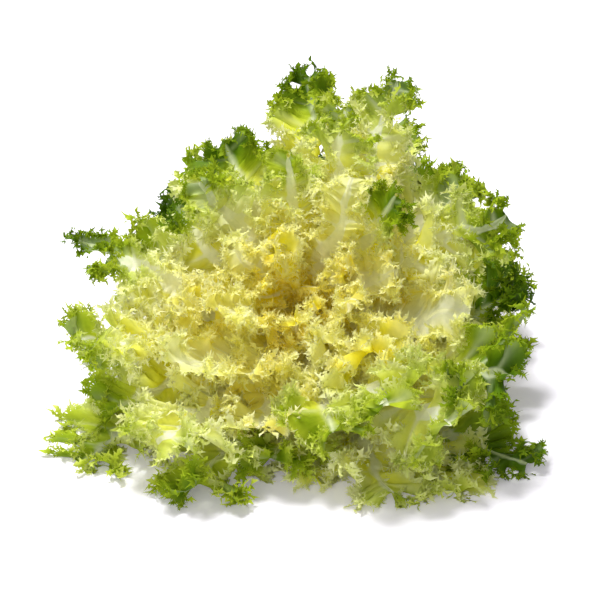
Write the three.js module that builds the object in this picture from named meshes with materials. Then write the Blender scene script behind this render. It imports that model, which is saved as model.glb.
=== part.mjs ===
// A head of curly endive, cut at the stem and lying on a table.
//
// A short stump carries a rounded core. The leaves leave the core in whorls of five, each leaf turned
// from the last by the golden angle. They stand in nested cone-like shells about the growing point:
// the outermost spread wide, the innermost stand close round the axis. The head leans forward until the
// rim of the stump and the lowest leaves rest on the table. Each leaf is a plain closed solid, with the
// place, the length and the sweep of one real leaf.
//
// Millimetres, +Z up. The origin lies on the table, under the middle of the head's bounding box.

import * as THREE from "three";

const degrees = THREE.MathUtils.degToRad;

// Driving dimensions
const LEAF_COUNT = 57;
const WHORL = 5; // leaves on one shell
const GOLDEN_ANGLE = degrees(137.508);
const FIRST_LEAF_AT = degrees(-55); // the first leaf points to the front right
const HEAD_TILT = degrees(42); // the axis leans this far forward, towards -Y
const CORE_RADIUS = 19.6;
const STUMP_RADIUS = 15.5;
const STUMP_DEPTH = 27; // from the growing point to the cut face
const ROOT_GAP = 0.5; // clear space between the core and each leaf's foot

// Where the leaves point, as angles from the head's axis
const WIDEST_ANGLE = degrees(116);
const NARROWEST_ANGLE = degrees(8);
const SHELL_POWER = 0.82; // below 1, the inner shells lie further apart
const FOOT_LEAN = 0.62; // share of a leaf's angle that it already has at its foot
const FULL_LEAN = 1.04; // share of it that the leaf tends to at its tip
const BEND_LENGTH = 48;
const TABLE_SOFTNESS = degrees(4); // how gently the leaves turn up off the table

// Leaf sizes
const HEART_REACH = 56; // from the growing point to the tip of an innermost leaf
const OUTER_SCATTER = 0.03; // how much the lengths of like leaves differ, round the rim of the head
const HEART_SCATTER = 0.13; // and in its heart
const LEAN_SCATTER = degrees(1.8); // how much the leaves of one shell differ in their angle
const FOOT_HALF_WIDTH = 4.5;
const BLADE_HALF_WIDTH = 33; // of a leaf that reaches as far as USUAL_REACH
const USUAL_REACH = 150;
const FOOT_THICKNESS = 1.3;
const BLADE_THICKNESS = 2.2;
const SECTOR = degrees(24); // half of the widest turn about the axis that one leaf may fill
const TIP_NARROWING = 0.62; // share of the width that is lost towards the tip
const LOBE_DEPTH = 0.17; // how far the outline swings between lobe and notch
const CUP = degrees(1.3); // how far the edges lift towards the axis
const RUFFLE = degrees(0.7);
const LARGE_LEAF_GRID = { across: 4, along: 9 };
const SMALL_LEAF_GRID = { across: 2, along: 7 };
const LARGE_LEAVES = 35;

// How far the outer leaves reach, every 15 degrees of turn about the axis, from +X through the back of
// the head to -X and on through the front
const REACHES = [
  132, 147, 143, 142, 148, 166, 162, 150, 140, 120, 120, 122, 132, 160, 150, 162, 154, 130, 118, 130,
  152, 156, 164, 144,
];
// Leaves that stray from the pattern, by number from the outside: how far each is turned aside, and its
// length and breadth as shares of the usual ones
const STRAYS = {
  1: { stretch: 1.03 },
  3: { aside: degrees(-4), stretch: 1.08 },
  5: { stretch: 1.15 },
  6: { stretch: 1.06 },
  7: { stretch: 1.13 },
  8: { stretch: 0.86 },
  9: { aside: degrees(-3), breadth: 0.75 },
  11: { stretch: 0.98 },
  12: { stretch: 0.95 },
  13: { stretch: 1.14 },
  15: { stretch: 0.96 },
  16: { stretch: 0.88 },
  17: { stretch: 0.95 },
  18: { aside: degrees(-4), stretch: 0.98 },
  20: { aside: degrees(5) },
  21: { stretch: 0.9 },
  23: { aside: degrees(-2), breadth: 0.7 },
  25: { stretch: 0.93 },
  26: { stretch: 0.95 },
  28: { aside: degrees(10), stretch: 1.1, breadth: 0.6 },
  29: { stretch: 0.97, breadth: 0.75 },
  30: { stretch: 0.94 },
  31: { aside: degrees(6) },
  33: { stretch: 1.04, breadth: 0.85 },
  34: { aside: degrees(4), stretch: 1.32, breadth: 0.35 },
};

const GROWING_POINT_HEIGHT = STUMP_DEPTH * Math.cos(HEAD_TILT) + STUMP_RADIUS * Math.sin(HEAD_TILT);
const FOOT_RADIUS = CORE_RADIUS + ROOT_GAP;

const COLOURS = {
  core: 0xe9e6c4,
  outer: 0x5f8a24,
  middle: 0xa9bc56,
  inner: 0xdccf5c,
};

function leafMaterial(name) {
  return new THREE.MeshStandardMaterial({
    color: COLOURS[name],
    roughness: 0.5,
    metalness: 0,
    side: THREE.DoubleSide,
  });
}

const MATERIALS = {
  core: leafMaterial("core"),
  outer: leafMaterial("outer"),
  middle: leafMaterial("middle"),
  inner: leafMaterial("inner"),
};

// A value that looks random but is always the same for the same seed, from -1 to 1.
function scatter(seed) {
  const wave = Math.sin(seed * 127.1 + 11.7) * 43758.5453;
  return 2 * (wave - Math.floor(wave)) - 1;
}

// The reach of an outer leaf at this turn about the axis, eased between the stated ones.
function reachAt(turn) {
  const step = (2 * Math.PI) / REACHES.length;
  const place = THREE.MathUtils.euclideanModulo(turn, 2 * Math.PI) / step;
  const before = Math.floor(place) % REACHES.length;
  const after = (before + 1) % REACHES.length;
  const share = THREE.MathUtils.smoothstep(place - Math.floor(place), 0, 1);
  return THREE.MathUtils.lerp(REACHES[before], REACHES[after], share);
}

// The share of its angle that a leaf has at this distance from the growing point.
function leanAt(radius) {
  return FULL_LEAN - (FULL_LEAN - FOOT_LEAN) * Math.exp(-(radius - FOOT_RADIUS) / BEND_LENGTH);
}

// The angle from the axis at which a ray of this length and turn meets the table.
function tableAngle(radius, turn) {
  const upright = Math.cos(HEAD_TILT);
  const slope = Math.sin(turn) * Math.sin(HEAD_TILT);
  const drop = -GROWING_POINT_HEIGHT / (radius * Math.hypot(upright, slope));
  return Math.atan2(slope, upright) + Math.acos(Math.max(drop, -1));
}

// How much every leaf here is pressed towards the axis by the table, from 1 for not at all. One share
// serves all shells, so the leaves stay in order and never meet.
function pressAt(radius, turn) {
  const free = WIDEST_ANGLE * leanAt(radius);
  const room = Math.min(tableAngle(radius, turn), Math.PI * 1.5);
  const sum = Math.exp(-free / TABLE_SOFTNESS) + Math.exp(-room / TABLE_SOFTNESS);
  return (0.25 - Math.log(sum)) * (TABLE_SOFTNESS / free);
}

// A point given by its distance from the growing point, its angle from the axis and its turn about it.
function headPoint(radius, angle, turn) {
  const sideways = radius * Math.sin(angle);
  const along = radius * Math.cos(angle);
  const up = sideways * Math.sin(turn);
  return new THREE.Vector3(
    sideways * Math.cos(turn),
    up * Math.cos(HEAD_TILT) - along * Math.sin(HEAD_TILT),
    GROWING_POINT_HEIGHT + up * Math.sin(HEAD_TILT) + along * Math.cos(HEAD_TILT),
  );
}

// Everything that sets one leaf apart: its turn, its angle in the free head and its length.
function leafTraits(index) {
  const shells = Math.ceil(LEAF_COUNT / WHORL);
  const depth = Math.floor(index / WHORL) / (shells - 1);
  const shell = NARROWEST_ANGLE + (WIDEST_ANGLE - NARROWEST_ANGLE) * Math.pow(1 - depth, SHELL_POWER);
  const angle = shell + LEAN_SCATTER * scatter(index + LEAF_COUNT);
  const { aside = 0, stretch = 1, breadth = 1 } = STRAYS[index + 1] ?? {};
  const turn = FIRST_LEAF_AT + index * GOLDEN_ANGLE + aside;
  const openness = Math.pow(Math.sin(Math.min(angle, Math.PI / 2)), 1.1);
  const reach = THREE.MathUtils.lerp(HEART_REACH, reachAt(turn), openness);
  const scatterHere = THREE.MathUtils.lerp(OUTER_SCATTER, HEART_SCATTER, depth);
  return {
    index,
    turn,
    angle,
    depth,
    reach: reach * stretch * (1 + scatterHere * scatter(index)),
    breadth,
    grid: index < LARGE_LEAVES ? LARGE_LEAF_GRID : SMALL_LEAF_GRID,
  };
}

// Half of the leaf's width at this share of its length: a narrow stalk, a broad lobed blade, a blunt tip.
function halfWidth(leaf, along, radius, angle) {
  const blade = THREE.MathUtils.smoothstep(along, 0.12, 0.62);
  const tip = 1 - TIP_NARROWING * THREE.MathUtils.smoothstep(along, 0.74, 1);
  const row = Math.round(along * leaf.grid.along);
  const lobes = 1 + (row % 2 ? LOBE_DEPTH : -LOBE_DEPTH) * blade;
  const size = BLADE_HALF_WIDTH * leaf.breadth * (leaf.reach / USUAL_REACH);
  const wanted = (FOOT_HALF_WIDTH + (size - FOOT_HALF_WIDTH) * blade) * tip * lobes;
  return Math.min(wanted, SECTOR * radius * Math.sin(angle));
}

// A point of a leaf. Across runs from -1 to 1 over its blade, along from 0 at its foot to 1 at its tip,
// and side through it, from -0.5 to 0.5 on the face towards the axis.
function leafPoint(leaf, across, along, side) {
  const radius = THREE.MathUtils.lerp(FOOT_RADIUS, leaf.reach, along);
  const spread = leanAt(radius) * pressAt(radius, leaf.turn);
  const width = halfWidth(leaf, along, radius, leaf.angle * spread);
  const turn = leaf.turn + (across * width) / (radius * Math.sin(leaf.angle * spread));
  const row = Math.round(along * leaf.grid.along);
  const ruffle = RUFFLE * Math.abs(across) * (row % 2 ? 1 : -1) * Math.sign(across + 0.5);
  const cup = -CUP * (across * across - 0.3);
  const thickness = THREE.MathUtils.lerp(FOOT_THICKNESS, BLADE_THICKNESS, Math.min(along * 2.5, 1));
  const blade = THREE.MathUtils.smoothstep(along, 0.15, 0.5);
  const pressed = leanAt(radius) * pressAt(radius, turn);
  const angle = (leaf.angle + (cup + ruffle) * blade) * pressed - (side * thickness) / radius;
  const point = headPoint(radius, angle, turn);
  point.z = Math.max(point.z, (side + 0.5) * thickness); // what would sink into the table lies on it
  return point;
}

function makeLeaf(index) {
  const leaf = leafTraits(index);
  const { across, along } = leaf.grid;
  const geometry = new THREE.BoxGeometry(2, 1, 1, across, 1, along);
  const places = geometry.getAttribute("position");
  for (let i = 0; i < places.count; i += 1) {
    const point = leafPoint(leaf, places.getX(i), places.getZ(i) + 0.5, places.getY(i));
    places.setXYZ(i, point.x, point.y, point.z);
  }
  geometry.computeVertexNormals();
  const kind = leaf.depth < 0.2 ? "outer" : leaf.depth < 0.55 ? "middle" : "inner";
  const mesh = new THREE.Mesh(geometry, MATERIALS[kind]);
  mesh.name = `${kind}_leaf_${String(index + 1).padStart(2, "0")}`;
  return mesh;
}

// The stump and the domed core above it, turned as one round body.
function makeCore() {
  const neck = Math.sqrt(CORE_RADIUS ** 2 - (STUMP_RADIUS + 1) ** 2);
  const outline = new THREE.Path();
  outline.moveTo(0, -STUMP_DEPTH);
  outline.lineTo(STUMP_RADIUS, -STUMP_DEPTH);
  outline.lineTo(STUMP_RADIUS + 1, -neck);
  outline.absarc(0, 0, CORE_RADIUS, -Math.atan2(neck, STUMP_RADIUS + 1), Math.PI / 2, false);
  const profile = outline.getPoints(5);
  profile[profile.length - 1].x = 0; // exactly on the axis
  const core = new THREE.Mesh(new THREE.LatheGeometry(profile, 28), MATERIALS.core);
  core.name = "stem_core";
  core.rotation.x = Math.PI / 2; // the lathe turns about Y, the head about Z
  const tilted = new THREE.Group();
  tilted.rotation.x = HEAD_TILT;
  tilted.position.z = GROWING_POINT_HEIGHT;
  tilted.add(core);
  return tilted;
}

const head = new THREE.Group();
head.add(makeCore());
for (let index = 0; index < LEAF_COUNT; index += 1) {
  head.add(makeLeaf(index));
}

// The origin goes under the middle of the bounding box.
const box = new THREE.Box3().setFromObject(head, true);
const middle = box.getCenter(new THREE.Vector3());
head.position.set(-middle.x, -middle.y, -box.min.z);

export default head;
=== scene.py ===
"""A head of curly endive on a pale table.

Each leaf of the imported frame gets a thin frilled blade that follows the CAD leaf's own course: a fleshy
white rib, a ruffled sheet on both sides of it, and along both edges a row of curled lobes that end in
pointed teeth.
"""

import math

import bpy
import numpy as np
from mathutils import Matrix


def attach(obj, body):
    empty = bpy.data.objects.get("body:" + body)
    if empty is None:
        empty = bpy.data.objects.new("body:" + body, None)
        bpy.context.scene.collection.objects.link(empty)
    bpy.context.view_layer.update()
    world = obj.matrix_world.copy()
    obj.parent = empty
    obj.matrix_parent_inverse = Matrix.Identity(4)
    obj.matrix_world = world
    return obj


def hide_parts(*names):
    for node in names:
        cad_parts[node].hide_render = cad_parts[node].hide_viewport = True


MM = 0.001

# The head's own directions in the frame, and the radius of the CAD core's dome, whose centre the leaves
# grow from
TILT = math.radians(42)
CORE_RADIUS = 19.6 * MM
SIDE = np.array([1.0, 0.0, 0.0])
BACK = np.array([0.0, math.cos(TILT), math.sin(TILT)])
AXIS = np.array([0.0, -math.sin(TILT), math.cos(TILT)])

FLOOR_CLEARANCE = 0.3 * MM
FLOOR_SOFTNESS = 2.2 * MM  # how gently a leaf turns from hanging to lying on the table

# A leaf's sheet: its columns, the one on the rib, and the shares of the leaf's length that it covers
SHEET_COLUMNS = 9
MIDDLE = SHEET_COLUMNS // 2
SHEET_START, SHEET_END = 0.02, 0.965
LEAFLET_PITCHES = (15, 20)  # mm between the leaflets of one margin
FRILL_PITCH = 7.0 * MM
MOST_RUFFLE, MOST_FRILL = 8.5 * MM, 4.2 * MM
SHEET_SINK = 0.4 * MM  # how far the sheet dips where the rib holds it

# Lobes along the ruffled edge, and the teeth on each. Every size, in mm, is what it is at the foot of the
# leaf, and what it gains where the frill is full
LOBE_ROWS = 4
LOBE_PITCH = 1.0 * MM
FEWEST_LOBES, MOST_LOBES = 24, 340
LOBE_LENGTH, LOBE_GAIN = 0.8, 4.7
LOBE_TOP, LOBE_TOP_GAIN = 0.2, 0.24
TOOTH_LENGTH, SIDE_TOOTH_GAIN, TIP_TOOTH_GAIN = 0.4, 1.55, 2.5

# Each tooth stands on two edge points of its lobe, given as (row, column), and leans sideways by a share
SIDE_LEAN = 1.1
TOOTH_PLACES = (
    [((row - 1, 0), (row, 0), -SIDE_LEAN) for row in range(1, LOBE_ROWS)]
    + [((LOBE_ROWS - 1, 0), (LOBE_ROWS - 1, 1), 0.0)]
    + [((row, 1), (row - 1, 1), SIDE_LEAN) for row in reversed(range(1, LOBE_ROWS))]
)

# Half widths, in mm, of the fleshy rib and of the white along it: at the tip, and gained towards the foot
RIB_POINTS = 5
RIB_TIP, RIB_GAIN = 0.6, 4.6
WHITE_TIP, WHITE_GAIN = 1.7, 8.2

# By leaf number: leaves greener (or, below 0, paler) than their place in the head makes them. Part of this
# is the leaves' own colour and part is painted light: darker greens paint shade into hollows between
# leaves (41), and paler values lighten low leaves that lie in shade (1, 14)
GREENER_AND_PAINTED_SHADE = {
    1: -0.3, 3: -0.42, 5: -0.2, 6: -0.14, 7: -0.5, 8: -0.34, 9: -0.15, 11: -0.02, 12: -0.3,
    13: -0.2, 14: -0.14, 15: -0.44, 16: -0.05, 18: -0.1, 19: 0.2, 20: -0.1, 21: -0.1, 23: -0.1,
    24: -0.06, 25: 0.3, 26: 0.58, 27: 0.24, 28: -0.08, 29: -0.1, 30: 0.08, 31: 0.38, 32: -0.1,
    33: 0.15, 34: 0.2, 35: 0.18, 36: 0.2, 39: 0.45, 40: 0.05, 41: 0.58, 42: -0.05, 44: 0.4, 49: 0.1,
}
# Leaves that show a broad smooth blade, 0 to 1
OPEN = {
    18: 0.3, 20: 0.6, 22: 0.15, 24: 0.3, 26: 0.3, 27: 0.4, 28: 0.7, 31: 0.5, 32: 0.5, 34: 0.6,
    36: 0.35, 37: 0.85, 38: 0.85, 39: 0.45, 40: 0.5, 44: 0.3, 45: 0.75, 46: 0.7, 47: 0.7, 48: 0.4,
    49: 0.5, 50: 0.8, 51: 0.6,
}
# Leaves whose blade is blanched nearly to white, 0 to 1; on leaves that lie in shade (40, 45) this is also
# painted light that lightens them
BLANCHED_AND_PAINTED_LIGHT = {
    20: 0.4, 22: 0.1, 24: 0.1, 28: 0.12, 32: 0.25, 34: 0.3, 36: 0.2, 37: 0.7, 38: 0.9, 39: 0.45,
    40: 0.6, 42: 0.25, 45: 0.5, 46: 0.65, 47: 0.5, 48: 0.15, 49: 0.45, 50: 0.2, 51: 0.3,
}
# Leaves whose rib and veins stand out white, 0 to 1
RIBBED = {
    18: 0.7, 20: 0.3, 21: 0.7, 22: 0.9, 24: 0.8, 26: 0.7, 28: 0.8, 29: 0.6, 30: 0.5, 32: 0.5,
    33: 0.8, 34: 1.0, 35: 0.5, 36: 0.6, 37: 0.9, 38: 1.0, 39: 1.0, 43: 0.5, 44: 0.6, 45: 0.5,
    46: 1.0, 47: 0.9, 49: 0.9, 50: 0.5, 51: 0.9, 54: 0.5,
}
# How far the tips of some low leaves hang below their CAD solids, in mm
SAG = {8: 5, 9: 6, 11: 11, 14: 13, 16: 6, 19: 9, 24: 8, 32: 18, 37: 9, 38: 4, 40: 12, 43: 8, 45: 15, 50: 3}

# The photograph's view and light
CAMERA_TARGET = np.array([-1.2, -11.4, 52.4]) * MM
CAMERA_ELEVATION = math.radians(30)
CAMERA_DISTANCE = 0.98
LENS, SENSOR = 100, 36  # mm
ROOM_LIGHT = 0.36
TABLE_LIFT = 0.17  # glow that only the camera sees, so that the table reads as white
TABLE_REACH = 4.0

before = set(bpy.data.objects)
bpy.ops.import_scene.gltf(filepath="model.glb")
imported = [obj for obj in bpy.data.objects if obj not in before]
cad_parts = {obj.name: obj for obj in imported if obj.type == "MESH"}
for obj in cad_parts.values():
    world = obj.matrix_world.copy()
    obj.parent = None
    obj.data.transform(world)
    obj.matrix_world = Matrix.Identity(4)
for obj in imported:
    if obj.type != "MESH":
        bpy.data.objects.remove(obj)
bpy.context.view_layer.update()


# ---------------------------------------------------------------- small maths


def unit(vectors):
    """Vectors along the last axis, at length one."""
    return vectors / np.maximum(np.linalg.norm(vectors, axis=-1, keepdims=True), 1e-12)


def smoothstep(value, low, high):
    share = np.clip((value - low) / (high - low), 0, 1)
    return share * share * (3 - 2 * share)


def through(points, places):
    """A smooth curve through evenly spaced points, read at places from 0 to len(points) - 1."""
    first = np.clip(places.astype(int), 0, len(points) - 2)
    share = (places - first)[:, None]
    padded = np.concatenate([[2 * points[0] - points[1]], points, [2 * points[-1] - points[-2]]])
    before, start, end, after = (padded[first + i] for i in range(4))
    slope_in, slope_out = (end - before) / 2, (after - start) / 2
    return (
        (2 * share**3 - 3 * share**2 + 1) * start
        + (share**3 - 2 * share**2 + share) * slope_in
        + (3 * share**2 - 2 * share**3) * end
        + (share**3 - share**2) * slope_out
    )


def wander(rng, places, waves):
    """A smooth random curve of about unit height over places 0 to 1."""
    total = np.zeros_like(places)
    for k in (1, 2, 3):
        pitch = waves * k * rng.uniform(0.75, 1.25)
        total += rng.normal() * np.sin(2 * np.pi * (pitch * places + rng.uniform())) / k**0.7
    return total / 1.2


# --------------------------------------------------------------------- pieces


def quads(index):
    """Faces of a grid of vertex numbers."""
    return np.stack([index[:-1, :-1], index[1:, :-1], index[1:, 1:], index[:-1, 1:]], -1).reshape(-1, 4)


def soft_floor(height):
    """Presses what would sink into the table flat on it, with a soft turn at the edge of the contact."""
    soft = FLOOR_SOFTNESS
    pressed = soft * np.log1p(np.exp(np.minimum(height, 6 * soft) / soft))
    return np.where(height > 6 * soft, height, pressed)


def make_mesh(name, points, four, three):
    mesh = bpy.data.meshes.new(name)
    mesh.vertices.add(len(points))
    mesh.vertices.foreach_set("co", points.astype(np.float32).ravel())
    mesh.loops.add(len(four) * 4 + len(three) * 3)
    mesh.loops.foreach_set("vertex_index", np.concatenate([four.ravel(), three.ravel()]).astype(np.int32))
    mesh.polygons.add(len(four) + len(three))
    starts = np.concatenate([np.arange(len(four)) * 4, len(four) * 4 + np.arange(len(three)) * 3])
    mesh.polygons.foreach_set("loop_start", starts.astype(np.int32))
    mesh.update(calc_edges=True)
    mesh.validate()
    mesh.shade_smooth()
    return mesh


def add_values(mesh, name, values):
    layer = mesh.attributes.new(name, "FLOAT", "POINT")
    layer.data.foreach_set("value", values.astype(np.float32).ravel())


def add_piece(mesh, node):
    """The mesh as a piece that rides the head and stands for a CAD node."""
    piece = bpy.data.objects.new(mesh.name, mesh)
    bpy.context.scene.collection.objects.link(piece)
    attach(piece, "root")
    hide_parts(node)


# ------------------------------------------------------- reading the CAD leaf


def vertices(node):
    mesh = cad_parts[node].data
    flat = np.empty(len(mesh.vertices) * 3, np.float32)
    mesh.vertices.foreach_get("co", flat)
    return flat.reshape(-1, 3).astype(float)


def middle_of(values):
    return (values.min() + values.max()) / 2


core_points = vertices("stem_core")
GROWING_POINT = (
    SIDE * middle_of(core_points @ SIDE)
    + BACK * middle_of(core_points @ BACK)
    + AXIS * ((core_points @ AXIS).max() - CORE_RADIUS)
)


def cad_rows(node):
    """The rows of a CAD leaf from foot to tip: the middle of each and the step from there to its edge.

    The vertices of one row share their distance from the growing point.
    """
    points = np.unique(np.round(vertices(node) - GROWING_POINT, 6), axis=0)
    distance = np.linalg.norm(points, axis=1)
    order = np.argsort(distance)
    breaks = np.nonzero(np.diff(distance[order]) > 3 * MM)[0] + 1
    middles, steps = [], []
    for group in np.split(order, breaks):
        row = points[group]
        outward = row.mean(axis=0)
        turn = math.atan2(outward @ BACK, outward @ SIDE)
        sideways = math.cos(turn) * BACK - math.sin(turn) * SIDE
        place = row @ sideways
        ranked = row[np.argsort(place)]
        left, right = ranked[-2:].mean(axis=0), ranked[:2].mean(axis=0)
        nearest = np.argsort(np.abs(place - middle_of(place)))[:2]
        middles.append(row[nearest].mean(axis=0) + GROWING_POINT)
        steps.append((left - right) / 2)
    return np.array(middles), np.array(steps)


# ------------------------------------------------------------ one leaf's mesh


class Leaf:
    """The numbers that shape one leaf, read from its CAD node and from its place in the head."""

    def __init__(self, node):
        self.kind = node.split("_")[0]
        self.index = int(node.split("_")[-1])
        self.depth = ((self.index - 1) // 5) / 11  # 0 for the outermost whorl, 1 for the heart
        self.rng = np.random.default_rng(self.index)
        self.middles, self.steps = cad_rows(node)
        self.length = np.linalg.norm(np.diff(self.middles, axis=0), axis=1).sum()
        outward = self.middles[-1] - GROWING_POINT
        self.facing_back = (outward @ BACK) / np.hypot(outward @ BACK, outward @ SIDE)
        self.breadth = self.rng.uniform(0, 1)  # 0 for a leaf cut almost to its rib, 1 for a broad one
        self.breadth *= 0.25 + 0.75 * smoothstep(self.depth, 0.15, 0.4)
        self.rolls = self.rng.uniform(0.1, 1.3, 2)  # how far each margin rolls over the blade
        self.rib_white = self.rng.uniform(0.5, 1)
        self.greener = GREENER_AND_PAINTED_SHADE.get(self.index, 0)
        self.open = OPEN.get(self.index, 0)
        self.blanched = BLANCHED_AND_PAINTED_LIGHT.get(self.index, 0)
        self.ribbed = RIBBED.get(self.index, 0)


def blade_frame(leaf, along):
    """The rib's course at these shares of the length, with the ways across it and up from it."""
    count = len(leaf.middles)
    steps = leaf.steps.copy()
    steps[1:-1] = (leaf.steps[:-2] + 2 * leaf.steps[1:-1] + leaf.steps[2:]) / 4
    rib = through(leaf.middles, along * (count - 1))
    rib[:, 2] -= SAG.get(leaf.index, 0) * MM * smoothstep(along, 0.3, 1)
    step = through(steps, along * (count - 1))
    half = np.linalg.norm(step, axis=1)
    half = half * (1 + 0.9 * smoothstep(leaf.depth, 0.3, 0.7) * (1 - smoothstep(along, 0.25, 0.65)))
    forward = unit(np.gradient(rib, axis=0))
    across = unit(step - (step * forward).sum(1, keepdims=True) * forward)
    up = unit(np.cross(across, forward))
    inward = AXIS - (AXIS * forward).sum(1, keepdims=True) * forward
    up *= np.sign((up * inward).sum(1).mean())
    return rib, forward, across, up, half


def swept(width, slopes):
    """Distances from the rib to every column of half a sheet whose steps have these slopes."""
    steps = np.concatenate([np.zeros((len(width), 1)), np.cumsum(slopes, 1)], 1)
    return width[:, None] * steps / MIDDLE


def blade_sheet(leaf, along):
    """The rolled and ruffled sheet, rows x columns x 3, with its width, its edge normals and its veins."""
    rng = np.random.default_rng(leaf.index + 100)
    rib, forward, across, up, half = blade_frame(leaf, along)
    blade = smoothstep(along, 0.1 - 0.08 * leaf.depth, 0.42 - 0.2 * leaf.depth)
    tip = np.sqrt(np.clip(1 - ((along - 0.84) / 0.13).clip(0) ** 2, 0.0, 1))

    # The rib itself bends and twists a little
    rib = rib + up * (2.5 * MM * wander(rng, along, 1.2) * blade)[:, None]
    rib = rib + across * (3.0 * MM * wander(rng, along, 1.0) * blade)[:, None]
    twist = 0.35 * wander(rng, along, 0.8) * blade

    leaflets = leaf.length / (rng.uniform(*LEAFLET_PITCHES) * MM)
    frills = leaf.length / FRILL_PITCH
    notch = 0.15 + 0.45 * max(leaf.breadth, leaf.open)
    calm = 1 - 0.5 * leaf.open
    low = 1 - smoothstep(rib[:, 2] / MM, 12, 50)  # near the table the margins hang down to it
    shares = np.linspace(0, 1, MIDDLE + 1)
    between = (shares[1:] + shares[:-1]) / 2
    grown = np.empty((len(along), SHEET_COLUMNS, 3))
    widths, normals, veins = [], [], np.zeros((len(along), SHEET_COLUMNS))
    for side in (-1, 1):
        phase = np.pi * leaflets * (along + 0.02 * wander(rng, along, 1.5)) + rng.uniform(0, 6.28)
        crest = np.abs(np.sin(phase))
        lobing = notch + (1 - notch) * crest ** (1.5 - 0.8 * max(leaf.breadth, leaf.open))
        reach = (0.86 + 0.10 * wander(rng, along, 1.5)) * lobing * half * tip
        width = np.maximum(reach * blade + 2.2 * MM * (1 - blade), 0.5 * MM)

        # Rolled towards the axis, more on one leaflet than on the next
        roll = leaf.rolls[max(side, 0)] + 0.6 * wander(rng, along, 1.6)
        roll = (roll + 0.5 * np.sin(2 * phase + rng.uniform(0, 6.28))) * blade * calm
        roll = roll * (1 - 0.6 * low) - 0.3 * low * blade
        roll = np.clip(roll, -0.5, 2.3)[:, None]
        angle = side * twist[:, None] + roll * between**1.2
        angle_here = side * twist[:, None] + roll * shares**1.2
        away, rise = swept(width, np.cos(angle)), swept(width, np.sin(angle))

        # Ruffled at the edge
        size = np.minimum(0.36 * half, MOST_RUFFLE) * blade * calm * (0.9 + 0.3 * wander(rng, along, 2))
        swing = size * (np.sin(phase + 0.8) + 0.5 * np.sin(0.53 * phase + rng.uniform(0, 6.28)))
        fine = 2 * np.pi * frills * (along + 0.012 * wander(rng, along, 4)) + rng.uniform(0, 6.28)
        frill = np.minimum(0.24 * half, MOST_FRILL) * blade * calm * (0.9 + 0.35 * wander(rng, along, 3))
        lift = swing[:, None] * shares**1.5 + (frill * np.sin(fine))[:, None] * shares**1.8
        slide = (-0.8 * frill * np.cos(fine + 0.4))[:, None] * shares**2.5
        slide = slide + 0.42 * (width * blade)[:, None] * shares
        outwards, upwards = away - lift * np.sin(angle_here), rise + lift * np.cos(angle_here)
        columns = MIDDLE + side * np.arange(MIDDLE + 1)
        grown[:, columns] = (
            rib[:, None]
            + side * across[:, None] * outwards[..., None]
            + up[:, None] * upwards[..., None]
            + forward[:, None] * slide[..., None]
        )
        veins[:, columns] = (np.exp(-(1 - crest) / (0.02 + 0.06 * leaf.ribbed)) * blade)[:, None]
        widths.append(width)
        last = angle_here[:, -1:]
        normals.append(up * np.cos(last) - side * across * np.sin(last))
    grown[:, MIDDLE] = rib - up * SHEET_SINK
    wide = np.where(np.arange(SHEET_COLUMNS)[None] < MIDDLE, widths[0][:, None], widths[1][:, None])
    return grown, wide, up, normals, half, veins


def blade_places(leaf):
    """Shares of the length for the sheet's rows, closer together where the edge is long.

    Between two rows there is one lobe on each edge.
    """
    trial = np.linspace(SHEET_START, SHEET_END, 700)
    edges = blade_sheet(leaf, trial)[0][:, [0, -1]]
    steps = np.linalg.norm(np.diff(edges, axis=0), axis=-1).mean(axis=1)
    steps *= 0.45 + 0.55 * smoothstep(trial[1:], 0.2, 0.5)  # the crowded lower half carries fewer lobes
    lobes = int(np.clip(steps.sum() / (LOBE_PITCH * frill_scale(leaf)), FEWEST_LOBES, MOST_LOBES))
    measure = np.cumsum(0.85 * steps / steps.sum() + 0.15 / len(steps))
    measure = np.concatenate([[0], measure])
    return np.interp(np.linspace(0, 1, lobes + 1), measure, trial)


def frill_scale(leaf):
    """How large the lobes and teeth of this leaf are: the heart leaves carry finer ones."""
    return 1.22 - 0.55 * leaf.depth


def spread(values):
    """One value a lobe, ready to meet the lobe's rows and columns."""
    return values[:, None, None]


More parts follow.
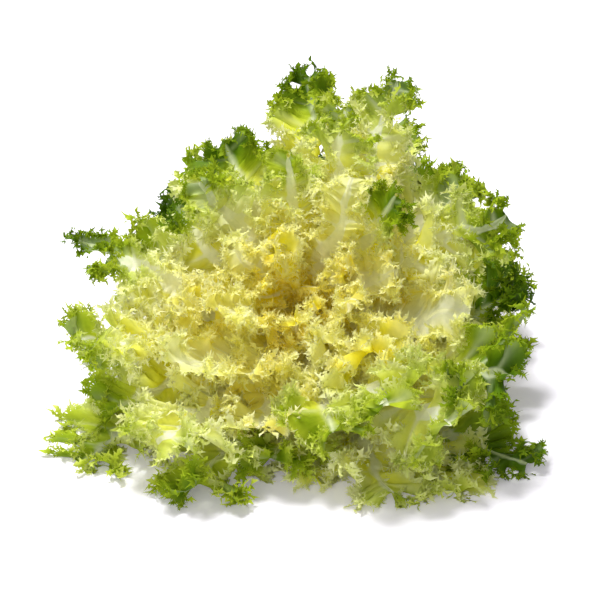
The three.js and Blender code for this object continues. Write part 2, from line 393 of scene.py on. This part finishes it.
def lobe_fans(leaf, sheet, along, edge_normals):
    """The lobes along both edges, each a curled finger, as lobes x rows x 2 x 3.

    With them come the ways that they head and face at each row, the way along their edge, and their growth.
    """
    rng = leaf.rng
    scale = frill_scale(leaf)
    lobes = len(along) - 1
    order = np.linspace(0, 1, lobes)
    place = along[:-1]
    growth = smoothstep(place, 0.04, 0.4) * (1 - 0.25 * smoothstep(place, 0.85, 1))
    out = np.linspace(0, 1, LOBE_ROWS + 1)[None, 1:, None]
    column = np.array([-1.0, 1.0])[None, None, :]
    fans, headings, facings, runs = [], [], [], []
    for side, edge, inner in ((0, sheet[:, 0], sheet[:, 1]), (1, sheet[:, -1], sheet[:, -2])):
        base = np.stack([edge[:-1], edge[1:]], 1)
        outward = unit((edge - inner)[:-1])
        run = unit(base[:, 1] - base[:, 0])
        outward = unit(outward - (outward * run).sum(1, keepdims=True) * run)
        normal = unit(np.cross(run, outward))
        normal *= np.sign((normal * edge_normals[side][:-1]).sum(1))[:, None] + 1e-9
        bushy = 1 + 0.4 * np.clip(wander(rng, order, leaf.length / (14 * MM)), -1.4, 1.6)
        length = (LOBE_LENGTH + LOBE_GAIN * growth * scale) * MM * bushy * rng.uniform(0.6, 1.4, lobes)
        foot = np.linalg.norm(base[:, 1] - base[:, 0], axis=1) / 2
        top = (LOBE_TOP + LOBE_TOP_GAIN * growth * scale**2) * MM * rng.uniform(0.7, 1.5, lobes)
        curl = 0.5 + 1.1 * wander(rng, order, leaf.length / (20 * MM))
        curl = curl + rng.normal(0, 0.6, lobes)
        curl = np.where(np.abs(curl) < 0.15, 0.15, np.clip(curl, -2.2, 2.6))
        lean = rng.normal(0, 0.35, lobes)
        cup = rng.normal(0.1, 0.4, lobes)
        fold = rng.uniform(0.05, 0.25, lobes) * rng.choice([-1, 1], lobes)
        shift = rng.uniform(0, 6.28, lobes)

        # The lobe's course out from the edge and up, along the arc of its curl
        angle = spread(curl) * out
        reach = spread(length) * np.sin(angle) / spread(curl) - 0.16 * spread(length) * out
        rise = spread(length) * (1 - np.cos(angle)) / spread(curl)
        sideways = column * (spread(foot) + spread(top - foot) * out**0.6)
        sideways = sideways + spread(lean * length) * out**2
        wave = spread(fold * length) * np.sin(column * 4.2 + spread(shift)) * out
        upwards = rise + spread(cup * top) * out + wave
        away = spread(outward) * reach[..., None]
        fan = base.mean(axis=1)[:, None, None] + away
        fan = fan + spread(run) * sideways[..., None] + spread(normal) * upwards[..., None]

        # Its first rows still hold on to the edge where it grows
        hold = np.clip(out[..., None] * 1.6, 0, 1)
        grown = base[:, None] + away + spread(normal) * rise[..., None]
        fans.append(fan * hold + grown * (1 - hold))
        headings.append(outward[:, None] * np.cos(angle) + normal[:, None] * np.sin(angle))
        facings.append(normal[:, None] * np.cos(angle) - outward[:, None] * np.sin(angle))
        runs.append(run)
    return [np.concatenate(parts) for parts in (fans, headings, facings, runs, (growth, growth))]


def lobe_teeth(leaf, fans, heading, facing, run, growth):
    """The points of the teeth round every lobe, lobes x teeth x 3, in the order of TOOTH_PLACES."""
    rng = leaf.rng
    count = len(fans)
    made = []
    for first, last, lean in TOOTH_PLACES:
        row = max(first[0], last[0])
        sideways = lean + rng.normal(0, 0.25, count)
        way = unit(heading[:, row] * (0.55 if lean else 1) + run * sideways[:, None])
        gain = SIDE_TOOTH_GAIN if lean else TIP_TOOTH_GAIN
        size = (TOOTH_LENGTH + gain * growth * frill_scale(leaf)) * MM * rng.uniform(0.4, 1.7, count)
        hook = rng.normal(0.1, 0.6, count)
        foot = (fans[:, first[0], first[1]] + fans[:, last[0], last[1]]) / 2
        out, rise = size * np.cos(hook), size * np.sin(hook)
        made.append(foot + way * out[:, None] + facing[:, row] * rise[:, None])
    return np.stack(made, axis=1)


def rib_tube(leaf, sheet, along, up, half):
    """The fleshy rib under the sheet: rows x columns x 3 from the sheet's middle line."""
    across = unit(sheet[:, MIDDLE + 1] - sheet[:, MIDDLE - 1])
    wide = (RIB_TIP + RIB_GAIN * (1 - along) ** 1.4) * MM * (1.1 - 0.45 * leaf.depth)
    wide = np.minimum(wide, 0.9 * np.maximum(half, 2.5 * MM))
    thick = 0.62 * wide
    angles = np.linspace(0, np.pi, RIB_POINTS)
    return (
        sheet[:, MIDDLE, None]
        + across[:, None] * (np.cos(angles) * wide[:, None])[..., None]
        - up[:, None] * ((np.sin(angles) ** 0.8) * thick[:, None] - 0.25 * MM)[..., None]
    )


def exposure(leaf, points):
    """How green the leaf is at these points, 0 in the blanched heart to 1 on the outer tips."""
    # Where the green starts and where it is full, in mm from the growing point
    away = np.linalg.norm(points - GROWING_POINT, axis=-1) / MM
    start = 50 + 85 * leaf.depth
    full = 135 + 120 * leaf.depth
    # Painted light: leaves facing the front of the head are painted paler, up to half as green, to lighten
    # that side
    front = smoothstep(-leaf.facing_back, 0.3, 0.95)
    green = np.clip((away - start) / (full - start), 0, 1.1) * (1 - 0.5 * front)
    golden = 1 - smoothstep(away, 34, 82)
    # The per-leaf offset is partly the leaf's own colour, partly painted shade in hollows and painted light
    # on leaves in shade
    return 0.14 + 0.86 * green - 0.14 * golden + leaf.greener * smoothstep(away, 64, 118)


def leaf_faces(parts):
    """The quads and triangles that join the parts' vertices, numbered in the parts' order."""
    ids, start = [], 0
    for part in parts:
        count = part[..., 0].size
        ids.append(start + np.arange(count).reshape(part.shape[:-1]))
        start += count
    sheet, fans, teeth, rib = ids
    lobes = len(fans) // 2

    feet = np.concatenate([np.stack([sheet[:-1, edge], sheet[1:, edge]], 1) for edge in (0, -1)])
    whole = np.concatenate([feet[:, None], fans], axis=1)
    fan_quads = np.stack([whole[:, :-1, 0], whole[:, 1:, 0], whole[:, 1:, 1], whole[:, :-1, 1]], -1)
    tooth_faces = np.stack(
        [
            np.stack([fans[:, first[0], first[1]], teeth[:, k], fans[:, last[0], last[1]]], 1)
            for k, (first, last, _) in enumerate(TOOTH_PLACES)
        ],
        1,
    )
    # The far edge's faces are turned over, so that the whole leaf faces one way
    for faces in (fan_quads, tooth_faces):
        faces[lobes:] = faces[lobes:, :, ::-1].copy()
    four = np.concatenate([quads(sheet), fan_quads.reshape(-1, 4), quads(rib)])
    return four, tooth_faces.reshape(-1, 3)


def by_part(parts, *given):
    """One value for every vertex of the parts, in their order, from what is given for each part."""
    shapes = [part.shape[:-1] for part in parts]
    return np.concatenate([np.broadcast_to(value, shape).ravel() for value, shape in zip(given, shapes)])


def leaf_values(leaf, along, width, veins, points, parts):
    """What the material reads at every vertex of the parts: sheet, lobes, teeth and rib."""
    off_rib = np.abs(np.linspace(-1, 1, SHEET_COLUMNS))[None]
    deep = smoothstep(np.linalg.norm(points - GROWING_POINT, axis=1) / MM, 30, 62)
    deep = 0.25 + 0.75 * deep  # the white fades into the golden heart

    # The rib's share of white crosses 0 at its edge, and branches run along the veins
    rib_half = (WHITE_TIP * (1 - along) ** 0.5 + WHITE_GAIN * (1 - along) ** 1.3) * MM
    rib_half = rib_half * (leaf.rib_white + 0.5 * leaf.ribbed)
    rib_half = np.maximum(rib_half * (1 + 0.3 * np.sin(9 * along + leaf.index)), 0.1 * MM)
    fading = 0.7 * (1 - leaf.ribbed) * smoothstep(along, 0.5, 0.85)
    on_rib = np.maximum(leaf.rib_white, leaf.ribbed) * (1 - fading)[:, None]
    on_rib = on_rib * (1 - off_rib * width / rib_half[:, None])
    branches = leaf.ribbed * (veins - 0.4) * (1.15 - off_rib)
    on_rib = np.maximum(on_rib, branches * smoothstep(1 - along, 0.1, 0.5)[:, None])
    on_rib = by_part(parts, on_rib, -1.0, -1.0, 0.95)

    pale = veins * (0.3 + 0.6 * leaf.ribbed) * (1 - off_rib * 0.6)
    # Blanched blades, which on some leaves in shade are painted light
    pale = np.maximum(pale, leaf.blanched * (1 - 0.7 * off_rib**3))
    pale = by_part(parts, pale, 0.0, 0.0, 0.95)

    out = np.linspace(0, 1, LOBE_ROWS + 1)[1:, None]
    frill = by_part(parts, 0.5 * off_rib**2, 0.5 + 0.4 * out, 1.0, 0.0)

    # Every lobe is a little paler or deeper than the next
    lobes = len(along) - 1
    tone = leaf.rng.normal(0, 0.5, 2 * lobes)
    along_sheet = np.interp(np.arange(len(along)), np.arange(lobes) + 0.5, tone[:lobes]) * 0.5
    tones = by_part(parts, along_sheet[:, None], spread(tone), tone[:, None], 0.0)
    return {
        "green": exposure(leaf, points),
        "pale": pale * deep,
        "rib": np.where(on_rib > 0, on_rib * deep, on_rib),
        "frill": frill,
        "tone": tones,
    }


def flat_layout(parts):
    """One flat layout for the whole leaf: its length along u, its parts side by side along v."""
    rows, lobes = len(parts[0]), len(parts[1]) // 2
    run = np.linspace(0, 1, rows)[:, None]
    cell = 1 / (rows - 1)
    lobe_u = (np.tile(np.arange(lobes), 2) + 0.5) / (rows - 1)

    # From the sheet's middle line outwards, on either hand: the sheet, the lobes and their tips
    sheet_band, lobe_band, tip_band = 0.12, 0.2, 0.11
    hand = np.repeat([-1.0, 1.0], lobes)
    out = np.linspace(0, 1, LOBE_ROWS + 1)[1:, None]
    u_fan = spread(lobe_u) + cell * 0.36 * np.array([-1.0, 1.0]) * np.ones_like(out)
    v_fan = spread(hand) * (sheet_band + lobe_band * out) * np.ones(2)
    u_teeth, v_teeth = np.empty((2, 2 * lobes, len(TOOTH_PLACES)))
    for k, (first, last, lean) in enumerate(TOOTH_PLACES):
        u_teeth[:, k] = (u_fan[:, first[0], first[1]] + u_fan[:, last[0], last[1]]) / 2
        v_teeth[:, k] = (v_fan[:, first[0], first[1]] + v_fan[:, last[0], last[1]]) / 2
        u_teeth[:, k] += np.sign(lean) * cell * 0.12
        v_teeth[:, k] += 0 if lean else tip_band * hand
    v_sheet = np.linspace(-sheet_band, sheet_band, SHEET_COLUMNS)
    v_rib = np.linspace(0.465, 0.535, RIB_POINTS)
    u = by_part(parts, run, u_fan, u_teeth, run)
    v = by_part(parts, v_sheet, v_fan, v_teeth, v_rib)

    # Moved and scaled to fill the square but for a margin
    lowest, height, margin = -0.44, 0.98, 0.01
    return margin + (1 - 2 * margin) * np.stack([u, (v - lowest) / height], 1)


def build_leaf(node, material):
    leaf = Leaf(node)
    along = blade_places(leaf)
    sheet, width, up, edge_normals, half, veins = blade_sheet(leaf, along)
    fans, *ways = lobe_fans(leaf, sheet, along, edge_normals)
    parts = (sheet, fans, lobe_teeth(leaf, fans, *ways), rib_tube(leaf, sheet, along, up, half))
    points = np.concatenate([part.reshape(-1, 3) for part in parts])
    points[:, 2] = FLOOR_CLEARANCE + soft_floor(points[:, 2] - FLOOR_CLEARANCE)

    mesh = make_mesh(node + "_blade", points, *leaf_faces(parts))
    for name, values in leaf_values(leaf, along, width, veins, points, parts).items():
        add_values(mesh, name, values)
    loops = np.empty(len(mesh.loops), np.int32)
    mesh.loops.foreach_get("vertex_index", loops)
    layout = flat_layout(parts)[loops].astype(np.float32)
    mesh.uv_layers.new(name="OFBake").data.foreach_set("uv", layout.ravel())
    mesh.materials.append(material)
    add_piece(mesh, node)


# ------------------------------------------------------------------ materials


class Nodes:
    """A short way to build the nodes of a material or a world."""

    def __init__(self, owner):
        owner.use_nodes = True
        self.tree = owner.node_tree
        self.tree.nodes.clear()

    def add(self, kind, settings=None, **inputs):
        node = self.tree.nodes.new(kind)
        for key, value in (settings or {}).items():
            setattr(node, key, value)
        for key, value in inputs.items():
            self.feed(node, key, value)
        return node

    def feed(self, node, key, value):
        """Gives the input a link or a value. The key is its name, or its number after an underscore."""
        number = key[1:] if key[0] == "_" else ""
        socket = node.inputs[int(number) if number else key.replace("_", " ")]
        if isinstance(value, bpy.types.NodeSocket):
            self.tree.links.new(value, socket)
        else:
            socket.default_value = value

    def math(self, operation, a, b, clamp=False):
        settings = {"operation": operation, "use_clamp": clamp}
        return self.add("ShaderNodeMath", settings, _0=a, _1=b).outputs[0]

    def attribute(self, name):
        return self.add("ShaderNodeAttribute", {"attribute_name": name}).outputs["Fac"]

    def ramp(self, factor, stops):
        node = self.add("ShaderNodeValToRGB")
        ramp = node.color_ramp
        while len(ramp.elements) < len(stops):
            ramp.elements.new(0.5)
        for element, (place, colour) in zip(ramp.elements, stops):
            element.position, element.color = place, (*colour, 1)
        self.feed(node, "Fac", factor)
        return node.outputs["Color"]

    def ramp_value(self, factor, low, high):
        """From 0 at low to 1 at high, with soft ends."""
        settings = {"interpolation_type": "SMOOTHSTEP"}
        node = self.add("ShaderNodeMapRange", settings, Value=factor, From_Min=low, From_Max=high)
        return node.outputs[0]

    def noise(self, scale, detail, vector):
        node = self.add("ShaderNodeTexNoise", Scale=scale, Detail=detail, Vector=vector)
        return node.outputs["Fac"]

    def mix(self, factor, a, b, blend="MIX"):
        settings = {"data_type": "RGBA", "blend_type": blend}
        return self.add("ShaderNodeMix", settings, _0=factor, _6=a, _7=b).outputs[2]


def leaf_material(name, greener, roughness, thinness):
    """Thin leaf: golden to pale yellow to deep green, with white ribs, that lets light through."""
    material = bpy.data.materials.new(name)
    nodes = Nodes(material)
    place = nodes.add("ShaderNodeTexCoord").outputs["Object"]
    green = nodes.attribute("green")
    rib = nodes.ramp_value(nodes.attribute("rib"), 0.0, 0.3)
    pale = nodes.math("MAXIMUM", nodes.attribute("pale"), rib)
    frill = nodes.attribute("frill")
    tone = nodes.attribute("tone")
    blotch = nodes.noise(38.0, 3.0, place)
    fine = nodes.noise(420.0, 2.0, place)

    # Greener towards the edges and in patches
    value = nodes.math("ADD", green, nodes.math("MULTIPLY", nodes.math("SUBTRACT", blotch, 0.5), 0.38))
    value = nodes.math("ADD", value, nodes.math("MULTIPLY", tone, 0.04))
    value = nodes.math("ADD", value, greener, clamp=True)
    # Painted shade: green blades are painted darker towards their middles, away from the frill, and lighter
    # on the teeth
    inward = nodes.math("MULTIPLY", nodes.math("SUBTRACT", 0.8, frill), nodes.ramp_value(value, 0.35, 0.65))
    value = nodes.math("ADD", value, nodes.math("MULTIPLY", inward, 0.3), clamp=True)
    colour = nodes.ramp(
        value,
        [
            (0.0, (0.97, 0.82, 0.026)),
            (0.14, (0.95, 0.87, 0.035)),
            (0.32, (0.87, 0.88, 0.075)),
            (0.48, (0.62, 0.71, 0.045)),
            (0.66, (0.30, 0.42, 0.012)),
            (0.84, (0.11, 0.21, 0.004)),
            (1.0, (0.05, 0.12, 0.002)),
        ],
    )

    # Fair tips on the young leaves, partly their own pale colour and partly a painted highlight on the
    # fringe, and milky patches in their blades
    young = nodes.math("SUBTRACT", 1.0, nodes.ramp_value(value, 0.34, 0.56))
    fair_tip_and_highlight = nodes.mix(0.88, colour, (1.0, 1.0, 0.74, 1))
    tips = nodes.math("MULTIPLY", nodes.math("POWER", frill, 2.0), young)
    tips = nodes.math("MULTIPLY", tips, nodes.ramp_value(value, -0.1, 0.15))
    colour = nodes.mix(tips, colour, fair_tip_and_highlight)
    milky = nodes.math("SUBTRACT", 1.0, frill, clamp=True)
    milky = nodes.math("MULTIPLY", milky, nodes.ramp_value(blotch, 0.4, 0.62))
    milky = nodes.math("MULTIPLY", milky, nodes.math("MULTIPLY", young, nodes.ramp_value(value, 0.0, 0.2)))
    colour = nodes.mix(nodes.math("MULTIPLY", milky, 0.5), colour, (0.95, 0.94, 0.57, 1))

    # White ribs, veins and blanched blades; the blanching is partly painted light on leaves in shade
    white = nodes.ramp(value, [(0.0, (1.0, 0.98, 0.76)), (0.5, (1.0, 1.0, 0.88)), (1.0, (0.76, 0.84, 0.50))])
    colour = nodes.mix(nodes.math("MULTIPLY", pale, 0.9, clamp=True), colour, white)
    shade = nodes.ramp(fine, [(0.3, (0.90, 0.92, 0.88)), (0.7, (1.0, 1.0, 1.0))])
    colour = nodes.mix(0.8, colour, shade, "MULTIPLY")

    bump_height = nodes.math("ADD", nodes.noise(260.0, 3.0, place), nodes.math("MULTIPLY", pale, 1.2))
    bump = nodes.add("ShaderNodeBump", Strength=0.35, Distance=0.6 * MM, Height=bump_height)
    rough = nodes.ramp(fine, [(0.2, (roughness,) * 3), (0.8, (roughness + 0.16,) * 3)])
    look = {"Base_Color": colour, "Roughness": rough, "Specular_IOR_Level": 0.12}
    surface = nodes.add("ShaderNodeBsdfPrincipled", **look, Normal=bump.outputs["Normal"])
    glow = nodes.add("ShaderNodeBsdfTranslucent", Color=colour)
    both = nodes.add("ShaderNodeMixShader", _0=thinness, _1=surface.outputs[0], _2=glow.outputs[0])
    nodes.add("ShaderNodeOutputMaterial", Surface=both.outputs[0])
    return material


def stem_material():
    """The stump: cream flesh with fine ridges, browned by dried milk on the cut face."""
    material = bpy.data.materials.new("endive_stem")
    nodes = Nodes(material)
    place = nodes.add("ShaderNodeTexCoord").outputs["Object"]
    cut = nodes.attribute("cut")
    patches = nodes.noise(160.0, 4.0, place)
    fine = nodes.noise(900.0, 3.0, place)
    flesh = nodes.ramp(patches, [(0.3, (0.78, 0.74, 0.50)), (0.7, (0.88, 0.86, 0.66))])
    browns = [(0.3, (0.42, 0.24, 0.09)), (0.6, (0.66, 0.50, 0.26)), (0.8, (0.80, 0.70, 0.45))]
    browned = nodes.ramp(patches, browns)
    colour = nodes.mix(nodes.math("MULTIPLY", cut, 0.85, clamp=True), flesh, browned)
    bump = nodes.add("ShaderNodeBump", Strength=0.5, Distance=0.8 * MM, Height=fine)
    rough = nodes.ramp(patches, [(0.2, (0.42,) * 3), (0.8, (0.62,) * 3)])
    look = {"Base_Color": colour, "Roughness": rough, "Normal": bump.outputs["Normal"]}
    surface = nodes.add("ShaderNodeBsdfPrincipled", **look)
    nodes.add("ShaderNodeOutputMaterial", Surface=surface.outputs[0])
    return material


# ----------------------------------------------------------------------- stump


def build_core():
    """The cut stump and the domed core, turned about the axis with shallow ribs."""
    # Height along the axis from the growing point, and radius, in mm
    outline = np.array(
        [(-27.0, 0.0), (-26.9, 4.0), (-26.7, 8.0), (-26.8, 12.0), (-26.4, 14.6), (-25.2, 15.5)]
        + [(-20.0, 15.7), (-14.0, 16.2), (-8.0, 17.6), (-2.0, 19.0)]
        + [(19.4 * math.sin(a), 19.4 * math.cos(a)) for a in np.linspace(0.1, math.pi / 2, 8)]
    )
    turns = np.linspace(0, 2 * np.pi, 97)[:-1]
    height = outline[:, 0][:, None] * np.ones_like(turns)[None]
    radius = outline[:, 1][:, None] * np.ones_like(turns)[None]
    ridges = np.sin(turns * 9 + 0.9)[None] * 0.35 + np.sin(turns * 23)[None] * 0.12
    radius = radius + ridges * smoothstep(radius, 6, 15) * (height < 0) - 0.4
    height = height + 0.18 * np.sin(turns * 3 + radius * 0.5) * (height < -26)
    points = GROWING_POINT + MM * (
        AXIS * height[..., None]
        + SIDE * (radius * np.cos(turns))[..., None]
        + BACK * (radius * np.sin(turns))[..., None]
    )
    points[..., 2] = np.maximum(points[..., 2], FLOOR_CLEARANCE)
    ids = np.arange(points[..., 0].size).reshape(points.shape[:2])
    ids = np.concatenate([ids, ids[:, :1]], axis=1)
    mesh = make_mesh("stem_core_flesh", points.reshape(-1, 3), quads(ids), np.zeros((0, 3), int))
    cut = np.clip(1.2 - (outline[:, 0] + 27) / 1.6, 0, 1)
    add_values(mesh, "cut", np.repeat(cut, len(turns)))
    mesh.materials.append(stem_material())
    add_piece(mesh, "stem_core")


# ------------------------------------------------------- table, light, camera


def build_stage():
    mesh = bpy.data.meshes.new("table")
    corners = [(x * TABLE_REACH, y * TABLE_REACH, 0) for x, y in ((-1, -1), (1, -1), (1, 1), (-1, 1))]
    mesh.from_pydata(corners, [], [(0, 1, 2, 3)])
    material = bpy.data.materials.new("table_white")
    nodes = Nodes(material)
    surface = nodes.add("ShaderNodeBsdfDiffuse", Color=(0.89, 0.87, 0.93, 1))
    seen = nodes.add("ShaderNodeLightPath").outputs["Is Camera Ray"]
    glow = nodes.math("MULTIPLY", seen, TABLE_LIFT)
    lift = nodes.add("ShaderNodeEmission", Color=(0.92, 0.86, 0.97, 1), Strength=glow)
    both = nodes.add("ShaderNodeAddShader", _0=surface.outputs[0], _1=lift.outputs[0])
    nodes.add("ShaderNodeOutputMaterial", Surface=both.outputs[0])
    mesh.materials.append(material)
    floor = bpy.data.objects.new("table", mesh)
    bpy.context.scene.collection.objects.link(floor)


def build_world():
    """Soft white room; the camera sees it as plain white."""
    world = bpy.data.worlds.new("studio")
    bpy.context.scene.world = world
    nodes = Nodes(world)
    seen = nodes.add("ShaderNodeLightPath").outputs["Is Camera Ray"]
    room = nodes.add("ShaderNodeBackground", Color=(1, 1, 1, 1), Strength=ROOM_LIGHT)
    plain = nodes.add("ShaderNodeBackground", Color=(1, 1, 1, 1), Strength=1.0)
    mix = nodes.add("ShaderNodeMixShader", _0=seen, _1=room.outputs[0], _2=plain.outputs[0])
    nodes.add("ShaderNodeOutputWorld", Surface=mix.outputs[0])


def aim(thing, place, target):
    """Stands a lamp or camera at a place, looking at its target, upright."""
    way = np.array(target, float) - np.array(place, float)
    thing.location = place
    pitch = math.atan2(math.hypot(way[0], way[1]), -way[2])
    thing.rotation_euler = (pitch, 0, math.atan2(-way[0], way[1]))


def add_light(name, place, size, watts):
    light = bpy.data.lights.new(name, "AREA")
    light.shape = "DISK"
    light.size = size
    light.energy = watts
    lamp = bpy.data.objects.new(name, light)
    bpy.context.scene.collection.objects.link(lamp)
    aim(lamp, place, (0, 0, 0.06))


def build_camera():
    """The photograph's view: from the front, half from above."""
    data = bpy.data.cameras.new("camera")
    data.lens = LENS
    data.sensor_width = SENSOR
    camera = bpy.data.objects.new("camera", data)
    bpy.context.scene.collection.objects.link(camera)
    away = np.array([0, -math.cos(CAMERA_ELEVATION), math.sin(CAMERA_ELEVATION)]) * CAMERA_DISTANCE
    aim(camera, tuple(CAMERA_TARGET + away), tuple(CAMERA_TARGET))
    bpy.context.scene.camera = camera


build_core()
materials = {
    "outer": leaf_material("endive_outer_leaf", greener=0.06, roughness=0.40, thinness=0.36),
    "middle": leaf_material("endive_middle_leaf", greener=0.0, roughness=0.42, thinness=0.47),
    "inner": leaf_material("endive_inner_leaf", greener=0.0, roughness=0.44, thinness=0.66),
}
for node in sorted(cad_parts):
    if "_leaf_" in node:
        build_leaf(node, materials[node.split("_")[0]])

build_stage()
build_world()
add_light("key", place=(-0.27, 0.22, 1.47), size=0.42, watts=30)
add_light("fill", place=(-0.5, -1.5, 0.9), size=1.2, watts=8)
build_camera()
bpy.context.scene.view_settings.view_transform = "Standard"
